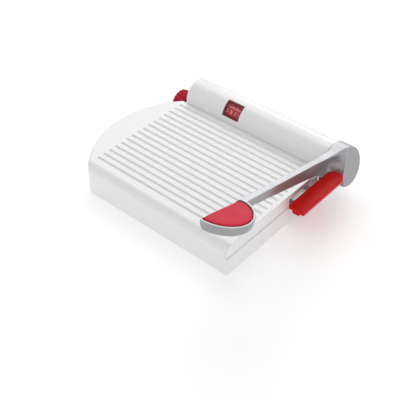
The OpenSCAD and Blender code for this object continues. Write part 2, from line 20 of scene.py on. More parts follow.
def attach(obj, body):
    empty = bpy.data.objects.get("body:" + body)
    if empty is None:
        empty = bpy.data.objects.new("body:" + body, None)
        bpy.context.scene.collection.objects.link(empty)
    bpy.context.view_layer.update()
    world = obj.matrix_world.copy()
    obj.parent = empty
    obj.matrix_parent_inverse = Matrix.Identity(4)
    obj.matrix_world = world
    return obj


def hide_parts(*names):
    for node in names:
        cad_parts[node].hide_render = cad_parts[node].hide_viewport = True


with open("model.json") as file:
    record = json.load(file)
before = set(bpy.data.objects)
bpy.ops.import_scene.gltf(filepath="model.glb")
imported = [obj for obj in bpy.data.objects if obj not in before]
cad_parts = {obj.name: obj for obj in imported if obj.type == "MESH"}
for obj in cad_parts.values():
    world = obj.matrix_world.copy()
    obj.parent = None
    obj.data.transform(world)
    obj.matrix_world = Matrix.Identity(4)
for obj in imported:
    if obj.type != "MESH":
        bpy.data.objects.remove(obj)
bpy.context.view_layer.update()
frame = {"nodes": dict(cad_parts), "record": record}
MM = 0.001

# %% [markdown]
# ## Camera
# The camera's place was worked out together with the object's size from the evenly spaced grooves.
# It stands to the front and right, and looks down at about 41 degrees. Its back vector follows from
# those two angles, so no aiming object is needed.

# %% Camera
CAMERA_PLACE = (0.4583, -0.5294, 0.6053)
CAMERA_AZIMUTH = math.radians(40.98)
CAMERA_ELEVATION = math.radians(41.12)
CAMERA_LENS = 74.1

camera_data = bpy.data.cameras.new("camera")
camera_data.lens = CAMERA_LENS
camera_data.sensor_width = 36.0
camera_data.clip_end = 20.0
camera = bpy.data.objects.new("camera", camera_data)
bpy.context.scene.collection.objects.link(camera)
back = Vector((
    math.sin(CAMERA_AZIMUTH) * math.cos(CAMERA_ELEVATION),
    -math.cos(CAMERA_AZIMUTH) * math.cos(CAMERA_ELEVATION),
    math.sin(CAMERA_ELEVATION),
))
right = Vector((math.cos(CAMERA_AZIMUTH), math.sin(CAMERA_AZIMUTH), 0.0))
up = back.cross(right)
turn = Matrix((right, up, back)).transposed().to_4x4()
camera.matrix_world = Matrix.Translation(CAMERA_PLACE) @ turn
bpy.context.scene.camera = camera
print("camera looks along", [round(-c, 3) for c in back])

# %% [markdown]
# ## Shader maths as Python
# A finish is a graph of nodes, and most of it is arithmetic. One small class holds an output socket
# and adds a Math node for each operator, so that a mask is written as `1 - grain * 0.3`. Every other
# node comes from one method, which takes its type, then its settings, then its sockets. Patterns
# follow the object's coordinates, which are in metres, so the zones of a finish are in metres too.

# %% Sockets that can be reckoned with
class Wire:
    """An output socket. Each operator on it adds one Math node and gives that node's output."""

    def __init__(self, finish, socket):
        self.finish, self.socket = finish, socket

    def reckon(self, operation, *terms):
        """One Math node, with the terms in its sockets in order."""
        return self.finish.node("ShaderNodeMath", {"operation": operation}, dict(enumerate(terms)))

    def __add__(self, other):
        return self.reckon("ADD", self, other)

    def __sub__(self, other):
        return self.reckon("SUBTRACT", self, other)

    def __rsub__(self, other):
        return self.reckon("SUBTRACT", other, self)

    def __mul__(self, other):
        return self.reckon("MULTIPLY", self, other)

    __radd__ = __add__
    __rmul__ = __mul__


# %% A finish and its one node method
class Finish:
    """A graph of nodes in a new material, or in a world that is given, built by node()."""

    EDGE_GAIN, EDGE_FULL = 3.0, 0.6

    def __init__(self, name, world=None):
        self.owner = world or bpy.data.materials.new(name)
        self.owner.use_nodes = True
        self.tree = self.owner.node_tree
        self.tree.nodes.clear()
        self.place = None if world else self.node("ShaderNodeTexCoord", output="Object")

    def node(self, kind, settings=None, inputs=None, output=0):
        """Adds a node: its settings first, then the values or links of its sockets. The setting
        "stops" fills a colour ramp. Gives an output, or None where the node has none."""
        made = self.tree.nodes.new(kind)
        for key, value in (settings or {}).items():
            if key == "stops":
                while len(made.color_ramp.elements) < len(value):
                    made.color_ramp.elements.new(0.5)
                for element, (position, shade) in zip(made.color_ramp.elements, value):
                    element.position = position
                    element.color = (shade, shade, shade, 1.0)
            else:
                setattr(made, key, value)
        for key, value in (inputs or {}).items():
            if isinstance(value, Wire):
                self.tree.links.new(value.socket, made.inputs[key])
            else:
                made.inputs[key].default_value = value
        return Wire(self, made.outputs[output]) if len(made.outputs) else None

    def stretched(self, scale, turn=(0.0, 0.0, 0.0)):
        """Object coordinates, turned and then scaled along each axis."""
        turned = self.node("ShaderNodeVectorRotate", {"rotation_type": "EULER_XYZ"},
                           {"Vector": self.place, "Rotation": turn})
        return self.node("ShaderNodeVectorMath", {"operation": "MULTIPLY"}, {0: turned, 1: scale})

    def noise(self, scale, detail=3.0, at=None, roughness=0.5):
        """Cloudy values about 0.5: noises of halving size, summed with falling weights."""
        return self.node("ShaderNodeTexNoise", {"noise_dimensions": "3D"},
                         {"Vector": at or self.place, "Scale": scale, "Detail": detail,
                          "Roughness": roughness})

    def ramp(self, value, *stops):
        """Grey shades between stops, where each stop is (position, shade)."""
        return self.node("ShaderNodeValToRGB", {"stops": stops}, {"Fac": value})

    def blend(self, mask, first, second):
        """The first colour where the mask is 0 and the second where it is 1."""
        made = self.node("ShaderNodeMix", {"data_type": "RGBA"}, {0: mask})
        mix = made.socket.node
        for socket, colour in ((mix.inputs[6], first), (mix.inputs[7], second)):
            if isinstance(colour, Wire):
                self.tree.links.new(colour.socket, socket)
            else:
                socket.default_value = (*colour, 1.0)
        return Wire(self, mix.outputs[2])

    def along(self, axis):
        """One of the three object coordinates."""
        return self.node("ShaderNodeSeparateXYZ", {}, {0: self.place}, output=axis)

    def zone(self, axis, low, high, box=True):
        """1 between two values of a coordinate, or without the box a fall from 1 to 0 there."""
        place = self.along(axis)
        if box:
            return place.reckon("GREATER_THAN", place, low) * place.reckon("LESS_THAN", place, high)
        return self.node("ShaderNodeMapRange", {}, {0: place, 1: low, 2: high, 3: 1.0, 4: 0.0})

    def edges(self, radius):
        """About 1 on edges and 0 on flat places: a ramp over 1 less the dot product of the plain
        normal and the rounded one."""
        plain = self.node("ShaderNodeNewGeometry", output="Normal")
        rounded = self.node("ShaderNodeBevel", {"samples": 4}, {"Radius": radius})
        agree = self.node("ShaderNodeVectorMath", {"operation": "DOT_PRODUCT"},
                          {0: plain, 1: rounded}, output="Value")
        return self.ramp((1.0 - agree) * self.EDGE_GAIN, (0.0, 0.0), (self.EDGE_FULL, 1.0))

    def surface(self, colour, roughness, height=None, distance=0.0002, edge=0.0005, **fixed):
        """Ends the graph in a Principled shader, with the height as a bump over rounded edges. A
        further value goes to the socket that its name spells, with spaces for underscores."""
        normal = self.node("ShaderNodeBevel", {"samples": 6}, {"Radius": edge})
        if height is not None:
            normal = self.node("ShaderNodeBump", {}, {
                "Height": height, "Distance": distance, "Strength": 1.0, "Normal": normal})
        sockets = {"Base Color": colour, "Roughness": roughness, "Normal": normal}
        sockets.update({key.replace("_", " "): value for key, value in fixed.items()})
        shader = self.node("ShaderNodeBsdfPrincipled", {}, sockets)
        self.node("ShaderNodeOutputMaterial", {}, {"Surface": shader})
        print(self.owner.name, "is a graph of", len(self.tree.nodes), "nodes")
        return self.owner


finishes = {}

# %% [markdown]
# ## White shell
# The board, the base and the tube are injection moulded in a glossy white plastic. Such a surface
# isn't one flat white: thick places sink a little, the polish ripples, and use leaves faint scuffs.
# All three are weak noises, because white plastic shows dirt before it shows texture. The grooves
# get a grey painted shade, deepest at their floor, which is a mask by the height within their field.

# %% White shell
WHITE, SUNK_WHITE, GROOVE_SHADE_GREY = (0.900, 0.898, 0.905), (0.876, 0.874, 0.886), (0.46, 0.46, 0.475)
GROOVE_FLOOR, GROOVE_TOP = 0.0388, 0.0397
GROOVES_X, GROOVES_Y = (-0.1005, 0.0965), (-0.064, 0.080)
white = Finish("white_shell")
sink = white.noise(14.0, 2.0)
ripple = white.noise(260.0, 2.0)
scuff = white.ramp(white.noise(90.0, 6.0, white.stretched((0.25, 1.0, 1.0)), 0.7),
                   (0.52, 0.0), (0.72, 1.0))
# painted shade: the grooves turn grey towards their floor
painted_groove_shade = (white.zone("Z", GROOVE_FLOOR, GROOVE_TOP, False) * white.zone("Y", *GROOVES_Y)
          * white.zone("X", *GROOVES_X))
finishes["white_shell"] = white.surface(
    white.blend(painted_groove_shade * 0.45, white.blend(sink * 0.5 + scuff * 0.1, WHITE, SUNK_WHITE), GROOVE_SHADE_GREY),
    0.23 + scuff * 0.06 + sink * 0.05,
    ripple * 0.25 + sink * 0.6, 0.00012, 0.0007,
    Coat_Weight=0.25, Coat_Roughness=0.12, Specular_IOR_Level=0.5)

# %% [markdown]
# ## Grey plastic, rubber and friction lining
# The cover under the base and the parts inside are moulded against a spark-eroded tool, which
# leaves an even matt grain. The feet are soft rubber with a bloom of dust, and the washer beside
# the tube is a pressed fibre.

# %% Grey plastic
GREY, DARK_GREY = (0.66, 0.66, 0.68), (0.58, 0.58, 0.605)
grey = Finish("grey_plastic")
grain = grey.noise(2600.0, 2.0)
finishes["grey_plastic"] = grey.surface(
    grey.blend(grey.noise(30.0, 4.0), GREY, DARK_GREY),
    0.46 + grain * 0.2, grain, 0.00008, 0.0005)

# %% Rubber and lining
RUBBER, DUST = (0.045, 0.045, 0.048), (0.11, 0.11, 0.115)
LINING, FIBRE = (0.02, 0.02, 0.02), (0.09, 0.08, 0.07)
rubber = Finish("feet_rubber")
bloom = rubber.noise(160.0, 5.0, roughness=0.65)
finishes["feet_rubber"] = rubber.surface(
    rubber.blend(rubber.ramp(bloom, (0.42, 0.0), (0.7, 1.0)), RUBBER, DUST),
    0.62 + bloom * 0.25, rubber.noise(1900.0, 3.0), 0.0001, 0.0006)

lining = Finish("friction")
fibre = lining.noise(700.0, 5.0, lining.stretched((1.0, 1.0, 3.0)))
finishes["friction"] = lining.surface(
    lining.blend(fibre, LINING, FIBRE), 0.8 + fibre * 0.15, fibre, 0.0002)

# %% [markdown]
# ## Cast aluminium
# The arm is a die casting that was blasted with fine beads and lacquered. It is satin: the beads
# leave a fine grain, and the surface varies softly in tone. Its edges are painted brighter, partly as
# polish from hands and partly as a painted highlight where rounded edges catch the light, most of all
# on the rim of the handle, so the mask of the edges is stronger in the handle's zone.

# %% Cast aluminium
LACQUERED, DULL, POLISHED_AND_HIGHLIT = (0.37, 0.37, 0.385), (0.32, 0.32, 0.335), (0.88, 0.88, 0.89)
HANDLE_ZONE = (-0.2, -0.055)
cast = Finish("cast_aluminium")
beads = cast.noise(2300.0, 2.0)
tone = cast.noise(38.0, 4.0)
# edges painted brighter: partly wear from hands, partly a painted highlight
edge_wear_and_highlight = cast.edges(0.0012) * (0.3 + cast.zone("Y", *HANDLE_ZONE) * 0.55)
finishes["cast_aluminium"] = cast.surface(
    cast.blend(edge_wear_and_highlight, cast.blend(tone, LACQUERED, DULL), POLISHED_AND_HIGHLIT),
    0.34 + beads * 0.1 - edge_wear_and_highlight * 0.08, beads + tone * 0.6, 0.00006, 0.0004,
    Metallic=0.8, Coat_Weight=0.15, Coat_Roughness=0.3)

# %% [markdown]
# ## Steel
# The blade is ground from its back to its edge, so its brushing runs across it, and the arm leans
# by the arm's slope, so the pattern's coordinates lean as well. The shafts and screws are turned and
# polished: fine rings about the X axis.

# %% Blade steel
ARM_SLOPE = math.radians(12.3)
GROUND_STEEL, STAINED_STEEL = (0.66, 0.67, 0.68), (0.56, 0.57, 0.59)
blade = Finish("blade_steel")
brushing = blade.noise(420.0, 4.0, blade.stretched((1.0, 9.0, 0.35), (ARM_SLOPE, 0.0, 0.0)), 0.6)
stain = blade.noise(24.0, 4.0)
finishes["blade_steel"] = blade.surface(
    blade.blend(stain, GROUND_STEEL, STAINED_STEEL),
    0.2 + brushing * 0.18, brushing, 0.00005, 0.0002, Metallic=1.0)

# %% Bright steel
BRIGHT_STEEL, RING_STEEL = (0.64, 0.64, 0.65), (0.54, 0.54, 0.56)
bright = Finish("bright_steel")
turned = bright.noise(300.0, 3.0, bright.stretched((14.0, 0.6, 0.6)))
finishes["bright_steel"] = bright.surface(
    bright.blend(turned, BRIGHT_STEEL, RING_STEEL),
    0.16 + turned * 0.14, turned, 0.00003, 0.0003, Metallic=1.0)

# %% [markdown]
# ## Reds
# The pad on the handle is a soft elastomer, pinkish red and nearly matt, with a fine leather grain.
# The plate, the knob and the drum are a harder and deeper red plastic with a gloss. The knob is from
# a bluer batch, so the colour changes at its place on the X axis.

# %% Red pad
PAD_RED, TOUCHED_RED = (0.76, 0.034, 0.068), (0.62, 0.022, 0.046)
pad = Finish("red_pad")
pores = pad.node("ShaderNodeTexVoronoi", {"feature": "F1"},
                 {"Vector": pad.place, "Scale": 1500.0}, output="Distance")
touch = pad.noise(60.0, 4.0)
finishes["red_pad"] = pad.surface(
    pad.blend(touch, PAD_RED, TOUCHED_RED),
    0.45 + touch * 0.12, pores + touch * 0.8, 0.00006, 0.0004, Specular_IOR_Level=0.15)

# %% Red plastic
PLATE_RED, PLATE_SWIRL = (0.70, 0.009, 0.007), (0.52, 0.006, 0.006)
KNOB_RED, KNOB_SWIRL = (0.56, 0.018, 0.045), (0.40, 0.010, 0.030)
KNOB_ZONE = (-0.14, -0.108)
red = Finish("red_plastic")
swirl = red.noise(45.0, 5.0, red.stretched((1.0, 0.5, 1.0)), 0.6)
hairs = red.ramp(red.noise(240.0, 5.0, red.stretched((1.0, 0.12, 1.0))), (0.55, 0.0), (0.75, 1.0))
finishes["red_plastic"] = red.surface(
    red.blend(red.zone("X", *KNOB_ZONE),
              red.blend(swirl * 0.8 + hairs * 0.1, PLATE_RED, PLATE_SWIRL),
              red.blend(swirl, KNOB_RED, KNOB_SWIRL)),
    0.26 + hairs * 0.08 + swirl * 0.06, red.noise(300.0, 2.0) + hairs * 0.1, 0.00006, 0.0005,
    Specular_IOR_Level=0.1)

# %% [markdown]
# ## Small parts
# The bushes are an ivory bearing plastic, and the nut and the pivot bush are sintered bronze, whose
# pores hold oil. The window is a clear plastic whose rim is painted dark red, a painted shade that
# stands for the shaded walls of its opening. Within that rim it only reflects a little at a flat
# angle, so it is a mostly transparent coat.

# %% Ivory and bronze
IVORY, DARK_IVORY = (0.80, 0.77, 0.67), (0.72, 0.69, 0.60)
BRONZE, OILY_BRONZE = (0.56, 0.37, 0.15), (0.38, 0.24, 0.10)
ivory = Finish("bush_plastic")
clouds = ivory.noise(120.0, 3.0)
finishes["bush_plastic"] = ivory.surface(
    ivory.blend(clouds, IVORY, DARK_IVORY), 0.35 + clouds * 0.1,
    ivory.noise(900.0, 2.0), 0.00005, 0.0003)

bronze = Finish("bronze")
oil = bronze.noise(500.0, 5.0)
finishes["bronze"] = bronze.surface(
    bronze.blend(oil, BRONZE, OILY_BRONZE), 0.3 + oil * 0.3, oil, 0.00008, 0.0003, Metallic=0.9)

# %% Window and figures
PAINTED_RIM_SHADE, PANE_PINK, RUBBED_PINK = (0.20, 0.012, 0.026), (0.86, 0.6, 0.6), (0.8, 0.5, 0.5)
PANE_X, PANE_Y, PANE_Z = (-0.0381, -0.0183), (0.07, 0.0953), (0.0494, 0.08)
INK, THIN_INK = (0.95, 0.80, 0.76), (0.86, 0.68, 0.64)
clear = Finish("clear_window")
rub = clear.noise(180.0, 5.0)
# round the clear middle the rim is painted dark red: painted shade of the opening's walls
pane = clear.zone("X", *PANE_X) * clear.zone("Y", *PANE_Y) * clear.zone("Z", *PANE_Z)
finishes["clear_window"] = clear.surface(
    clear.blend(pane, PAINTED_RIM_SHADE, clear.blend(rub, PANE_PINK, RUBBED_PINK)),
    0.1 + rub * 0.06, rub, 0.00002, 0.0003, Alpha=1.0 - pane * 0.95, Specular_IOR_Level=0.3)

figures = Finish("scale_figures")
ink = figures.noise(900.0, 3.0)
finishes["scale_figures"] = figures.surface(
    figures.blend(ink, INK, THIN_INK), 0.4 + ink * 0.2, ink, 0.00003, 0.0001)
print("finishes", sorted(finishes))

# %% [markdown]
# ## Finishes on the CAD nodes
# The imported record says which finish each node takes, so one loop dresses them all.

# %% Dress the CAD nodes
node_slot = {row["node"]: row["material_slot"] for row in frame["record"]["subparts"]}
for name, node in frame["nodes"].items():
    node.data.materials.clear()
    node.data.materials.append(finishes[node_slot[name]])
print("dressed", len(node_slot), "nodes")

# %% [markdown]
# ## Surfaces from rings
# Every new piece is a stack of closed rings of points, with the same count in each ring. Ring and
# next ring are joined by four-sided faces, and the first and last rings are drawn in to a point, so
# the skin is closed. If its volume comes out negative, its faces point inwards and are turned.

# %% Skin over rings
def skin(rings):
    """Closed skin: ring i joined to ring i + 1, and each end ring to its own middle point. The
    volume is a sixth of the sum of a . (b x c) over the triangles with corners a, b and c."""
    rings = np.asarray(rings, dtype=float)
    count, around = rings.shape[:2]
    points = np.vstack([rings.reshape(-1, 3), rings[0].mean(axis=0), rings[-1].mean(axis=0)])
    here = np.arange(around)
    after = (here + 1) % around
    start = np.arange(count - 1)[:, None] * around
    quads = np.stack([start + here, start + after, start + around + after, start + around + here],
                     axis=-1).reshape(-1, 4)
    last = (count - 1) * around
    first_fan = np.stack([after, here, np.full(around, count * around)], axis=-1)
    last_fan = np.stack([last + here, last + after, np.full(around, count * around + 1)], axis=-1)
    triangles = np.vstack([quads[:, [0, 1, 2]], quads[:, [0, 2, 3]], first_fan, last_fan])
    a, b, c = (points[triangles[:, i]] for i in range(3))
    volume = np.einsum("ij,ij->i", a, np.cross(b, c)).sum() / 6
    fans = np.vstack([first_fan, last_fan])
    if volume < 0:
        quads, fans = quads[:, ::-1], fans[:, ::-1]
    return points, quads.tolist() + fans.tolist()


# %% [markdown]
# ## Pieces
# A piece is one object that hangs on one moving body and wears one finish. Its points are already in
# the world's place, so the object itself stays at the origin. It is parented to the empty of the body
# it rides on, the slot names its finish, and the solids it stands for are hidden.

# %% A piece from one or more skins
def piece(name, body, slot, skins, finish=None, stands_for=(), crease=32.0):
    """Joins skins into one object at the origin, merges doubles, turns all faces outwards and
    keeps an edge sharp where its faces meet at more than the crease angle in degrees."""
    points, faces, offset = [], [], 0
    for own_points, own_faces in skins:
        points.append(own_points)
        faces += [[corner + offset for corner in face] for face in own_faces]
        offset += len(own_points)
    mesh = bpy.data.meshes.new(name)
    mesh.from_pydata(np.vstack(points), [], faces)
    work = bmesh.new()
    work.from_mesh(mesh)
    bmesh.ops.remove_doubles(work, verts=work.verts, dist=1e-6)
    bmesh.ops.dissolve_degenerate(work, edges=work.edges, dist=1e-7)
    bmesh.ops.recalc_face_normals(work, faces=work.faces)
    work.to_mesh(mesh)
    work.free()
    mesh.polygons.foreach_set("use_smooth", np.ones(len(mesh.polygons), dtype=bool))
    mesh.set_sharp_from_angle(angle=math.radians(crease))
    mesh.materials.append(finishes[finish or slot])
    made = bpy.data.objects.new(name, mesh)
    bpy.context.scene.collection.objects.link(made)
    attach(made, body)
    if stands_for:
        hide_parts(*stands_for)
    print(name, "has", len(mesh.polygons), "faces on", body)
    return made


# %% [markdown]
# ## The arm's frame
# The arm turns about the tube's axis. In the photograph it slopes up towards the handle by 12.3
# degrees. Its shape is easiest to say in distances forward of the axis and above it.

# %% Sizes of the arm, in millimetres
PIVOT_Y, PIVOT_Z = 104.0, 43.2
ARM_LEFT, BEAM_WIDE = 103.0, 7.3
BEAM_RISE = 15.6
HUB_RADIUS = 22.5
HUB_LEFT, FACE_X = 101.3, 122.6
FACE_LEAN = math.radians(12.0)
BORDER_TOP, BORDER_LEAN, BORDER_END = -2.6, 0.533, 12.0
HOLLOW_RADIUS, HOLLOW_DEEP, HOLLOW_LOW = 40.0, 4.8, 19.0
BLADE_SLOPE = math.radians(3.7)
BLADE_DROP, BLADE_SHOW = 11.0, 2.3
HANDLE_OUT, HANDLE_RADIUS = 202.5, 30.3
HANDLE_TILT = math.radians(3.7)
BEAM_LENGTH = 174.2


def from_arm(x, forward, above):
    """World metres from the arm's frame: turned about the pivot by the arm's slope."""
    y = PIVOT_Y - forward * math.cos(ARM_SLOPE) + above * math.sin(ARM_SLOPE)
    z = PIVOT_Z + forward * math.sin(ARM_SLOPE) + above * math.cos(ARM_SLOPE)
    return np.stack(np.broadcast_arrays(x, y, z), axis=-1) * MM


def smooth_step(value):
    """0 below 0, 1 above 1, and the cubic 3t^2 - 2t^3 between."""
    value = np.clip(value, 0.0, 1.0)
    return value * value * (3.0 - 2.0 * value)


def bridge(at, start, end):
    """Cubic from one height and slope to another: start and end are (place, height, slope)."""
    (a, height_a, slope_a), (b, height_b, slope_b) = start, end
    t = (at - a) / (b - a)
    return ((2 * t**3 - 3 * t**2 + 1) * height_a + (t**3 - 2 * t**2 + t) * (b - a) * slope_a
            + (3 * t**2 - 2 * t**3) * height_b + (t**3 - t**2) * (b - a) * slope_b)


# %% [markdown]
# ## Side view of the casting
# Seen from the right, the arm is a disc about the axis that runs out into a beam. Its upper line is
# straight, and its lower line rises a little faster. Cubics lead both lines into the disc's circle,
# as the fillets of the casting do. Everything here is a function of the distance in front of the
# axis, measured level, so that the disc's straight front edge falls on one cross section.

# %% Upper and lower line of the casting
TOP_START = BEAM_RISE / math.cos(ARM_SLOPE)
LOW_SLOPE = math.tan(ARM_SLOPE + BLADE_SLOPE)
LOW_START = (BLADE_SHOW - BLADE_DROP / math.cos(BLADE_SLOPE)) * math.cos(ARM_SLOPE)
TOP_BLEND, LOW_BLEND = (3.0, 34.0), (9.0, 42.0)


def top_line(ahead):
    """Height over the axis of the arm's top: circle, then cubic, then a straight line."""
    circle = np.sqrt(np.maximum(HUB_RADIUS**2 - ahead**2, 0.0))
    line = TOP_START + ahead * math.tan(ARM_SLOPE)
    a, b = TOP_BLEND
    rise = math.sqrt(HUB_RADIUS**2 - a * a)
    cubic = bridge(ahead, (a, rise, -a / rise),
                   (b, TOP_START + b * math.tan(ARM_SLOPE), math.tan(ARM_SLOPE)))
    return np.where(ahead < a, circle, np.where(ahead < b, cubic, line))


def low_line(ahead):
    """Height over the axis of the arm's underside: circle, then cubic, then a straight line."""
    circle = -np.sqrt(np.maximum(HUB_RADIUS**2 - ahead**2, 0.0))
    line = LOW_START + LOW_SLOPE * (ahead + LOW_START * math.tan(ARM_SLOPE))
    a, b = LOW_BLEND
    drop = math.sqrt(HUB_RADIUS**2 - a * a)
    end = LOW_START + LOW_SLOPE * (b + LOW_START * math.tan(ARM_SLOPE))
    cubic = bridge(ahead, (a, -drop, a / drop), (b, end, LOW_SLOPE))
    return np.where(ahead < a, circle, np.where(ahead < b, cubic, line))


print("beam is", round(float(top_line(150.0) - low_line(150.0)), 1), "mm high near the handle")

# %% [markdown]
# ## Right face of the casting
# The disc's face is flat and leans in at the top. Its straight front edge leans too, until it runs
# upright low down, so the red plate has room behind it. In front of that edge the casting falls back
# to the beam's hollowed side like the mouth of a trumpet. The fall is an exponential of the distance
# in front of the edge: long at the top line, short low down, where the plate has to pass, and
# shortest under it, where the raised arm turns past the plate's rear end. It starts a little under
# the disc's face, so the edge shows as a fine step.

# %% Right face
LEAST_FALL, SHORT_FALL, LONG_FALL = 0.8, 3.2, 15.0
LEAST_UP_TO, SHORT_FROM, LONG_FROM = -11.0, -4.0, 4.0
FALL_START = 0.6


def border(height):
    """Distance ahead of the axis of the disc's front edge: a leaning line, cut off at its end."""
    return np.minimum(BORDER_TOP + BORDER_LEAN * (HUB_RADIUS - height), BORDER_END)


def right_face(ahead, height, top):
    """X of the right face: the leaning plane behind the edge, and in front of it the hollow's arc
    plus what is left of the step between the two after the fall."""
    plane = FACE_X - math.tan(FACE_LEAN) * height
    above = height * math.cos(ARM_SLOPE) - ahead * math.sin(ARM_SLOPE)
    top_above = top * math.cos(ARM_SLOPE) - ahead * math.sin(ARM_SLOPE)
    from_low = np.clip(above - (BEAM_RISE - HOLLOW_LOW), -HOLLOW_RADIUS, HOLLOW_LOW)
    hollow = (ARM_LEFT + BEAM_WIDE - HOLLOW_DEEP + HOLLOW_RADIUS
              - np.sqrt(HOLLOW_RADIUS**2 - from_low**2))
    front = ahead - border(height)
    to_short = smooth_step((above - LEAST_UP_TO) / (SHORT_FROM - LEAST_UP_TO))
    to_long = smooth_step((above - LONG_FROM) / np.maximum(top_above - LONG_FROM, 1.0))
    fall = (LEAST_FALL + (SHORT_FALL - LEAST_FALL) * to_short
            + (LONG_FALL - SHORT_FALL) * to_long)
    swept = hollow + (plane - FALL_START - hollow) * np.exp(-np.maximum(front, 0.0) / fall)
    return np.where(front <= 1e-6, plane, swept)


print("disc's edge is", round(float(border(0.0)), 1), "mm ahead of the axis at the axis's height")

# %% [markdown]
# ## Rings of the casting
# A ring is a cross section of the arm. If rings were upright planes, the disc's leaning edge would
# cut across them and look jagged. So the rings near the disc lean with its edge, and one of them
# lies on it. The lean fades out towards the disc's back and along the beam.

# %% One ring of the casting
LEAN_GONE, MEET_ROUNDS = 70.0, 40
ROWS, ROW_SPREAD, ACROSS = 34, 0.35, 7
RIGHT_ROUND, LEFT_ROUND = 0.7, 0.4


def ring_ahead(station, height):
    """Distance ahead of a ring's point: the ring's station plus a share of the edge's lean."""
    share = np.interp(station, (-HUB_RADIUS, BORDER_END, LEAN_GONE), (0.0, 1.0, 0.0))
    return station + (border(height) - BORDER_END) * share


def meet(line, station):
    """Height where a ring meets the arm's upper or lower line, by repeated substitution."""
    height = 0.0
    for _ in range(MEET_ROUNDS):
        height = float(line(ring_ahead(station, height)))
    return height


def rounding(depth, radius):
    """How far a rounded edge falls back at a depth inside it: r - sqrt(r^2 - (r - depth)^2)."""
    inside = np.clip(radius - depth, 0.0, radius)
    return radius - np.sqrt(np.maximum(radius**2 - inside**2, 0.0))


def casting_ring(station, nudge=0.0):
    """One cross section: left face up, top across, right face down, underside back. Its rows lie
    at cosines of even angles, so they are closer together near the top and the underside."""
    top, low = meet(top_line, station), meet(low_line, station)
    middle, half = (top + low) / 2, (top - low) / 2
    swing = np.cos(np.linspace(0.0, math.pi, ROWS))
    heights = middle + half * (ROW_SPREAD * np.sin(swing * math.pi / 2)
                               + (1.0 - ROW_SPREAD) * swing)
    ahead = ring_ahead(station, heights) + nudge
    inside = np.minimum(top - heights, heights - low)
    if station <= BORDER_END:
        inside = np.minimum(inside, HUB_RADIUS - np.hypot(ahead, heights))
    inside = np.maximum(inside, 0.0)
    right_side = right_face(ahead, heights, top) - rounding(inside, RIGHT_ROUND)
    left_side = ARM_LEFT + rounding(inside, LEFT_ROUND)
    steps = np.linspace(0.0, 1.0, ACROSS + 2)[1:-1]
    top_x = left_side[0] + (right_side[0] - left_side[0]) * steps
    low_x = right_side[-1] + (left_side[-1] - right_side[-1]) * steps
    x = np.concatenate([left_side[::-1], top_x, right_side, low_x])
    h = np.concatenate([heights[::-1], np.full(ACROSS, top), heights, np.full(ACROSS, low)])
    out = np.concatenate([ahead[::-1], np.full(ACROSS, ahead[0]), ahead,
                          np.full(ACROSS, ahead[-1])])
    return np.stack([x, PIVOT_Y - out, h + PIVOT_Z], axis=-1) * MM


print("a ring has", 2 * (ROWS + ACROSS), "points")

# %% [markdown]
# ## Skin of the casting
# Behind the disc's front edge the rings stand at cosines of even angles, as round shapes need. In
# front of it they start close together, where the fall is steep, and spread out along the beam. A
# low boss on the left, a plain turned shape, is the face that turns against the friction washer.

# %% The casting's skin and its boss
FIRST_ANGLE, BEHIND_RINGS = 0.03, 64
FRONT_RINGS, FRONT_POWER, PAST_EDGE = 120, 1.6, 2e-3
BOSS_POINTS, BOSS_BORE, BOSS_ROUND, ROUND_MIDDLE = 144, 6.3, 0.5, 0.15
BOSS_SINK, BOSS_SHY = 0.6, 0.1

beam_end = BEAM_LENGTH * math.cos(ARM_SLOPE) - BEAM_RISE * math.sin(ARM_SLOPE)
edge_angle = math.acos(-BORDER_END / HUB_RADIUS)
behind = -HUB_RADIUS * np.cos(np.linspace(FIRST_ANGLE, edge_angle, BEHIND_RINGS))
in_front = (BORDER_END
            + (beam_end - BORDER_END) * np.linspace(0.0, 1.0, FRONT_RINGS) ** FRONT_POWER)
casting = skin([casting_ring(station) for station in behind]
               + [casting_ring(station, nudge=PAST_EDGE) for station in in_front])


def boss_ring(x, radius):
    """Circle of a radius about the pivot's axis, at one X."""
    turns = np.linspace(0.0, 2 * math.pi, BOSS_POINTS + 1)[:-1]
    return np.stack([np.full_like(turns, x), PIVOT_Y + radius * np.cos(turns),
                     PIVOT_Z + radius * np.sin(turns)], axis=-1) * MM


boss_section = [(HUB_LEFT, BOSS_BORE), (HUB_LEFT, HUB_RADIUS - BOSS_ROUND),
                (HUB_LEFT + ROUND_MIDDLE, HUB_RADIUS - ROUND_MIDDLE),
                (HUB_LEFT + BOSS_ROUND, HUB_RADIUS),
                (ARM_LEFT + BOSS_SINK, HUB_RADIUS - BOSS_SHY), (ARM_LEFT + BOSS_SINK, BOSS_BORE)]
boss = skin([boss_ring(x, radius) for x, radius in boss_section])
piece("arm_casting", "arm", "cast_aluminium", [casting, boss], stands_for=["arm"])

# %% [markdown]
# ## Handle
# The handle is half a disc, cut off flat on the board's side, with a thin rim round a pocket for
# the pad. It is a stack of outlines: each one has an inset, a share of the rim's depth and a corner
# radius, so a table of these is the rim's cross section. An outline is drawn from the arc and the
# straight side with a fixed count of points, so outlines with different insets fit each other.

# %% Handle outlines
HANDLE_CUT = -1.0
SIDE_SHARE, SIDE_MOST = 0.4, 3.0
ARC_POINTS, BEND_POINTS, SIDE_POINTS = 120, 16, 60
RIM_DEEP, RIM_DROP, RIM_LIFT = 13.0, 2.0, 1.0
RIM_START, RIM_RUN = 3.0, 14.0


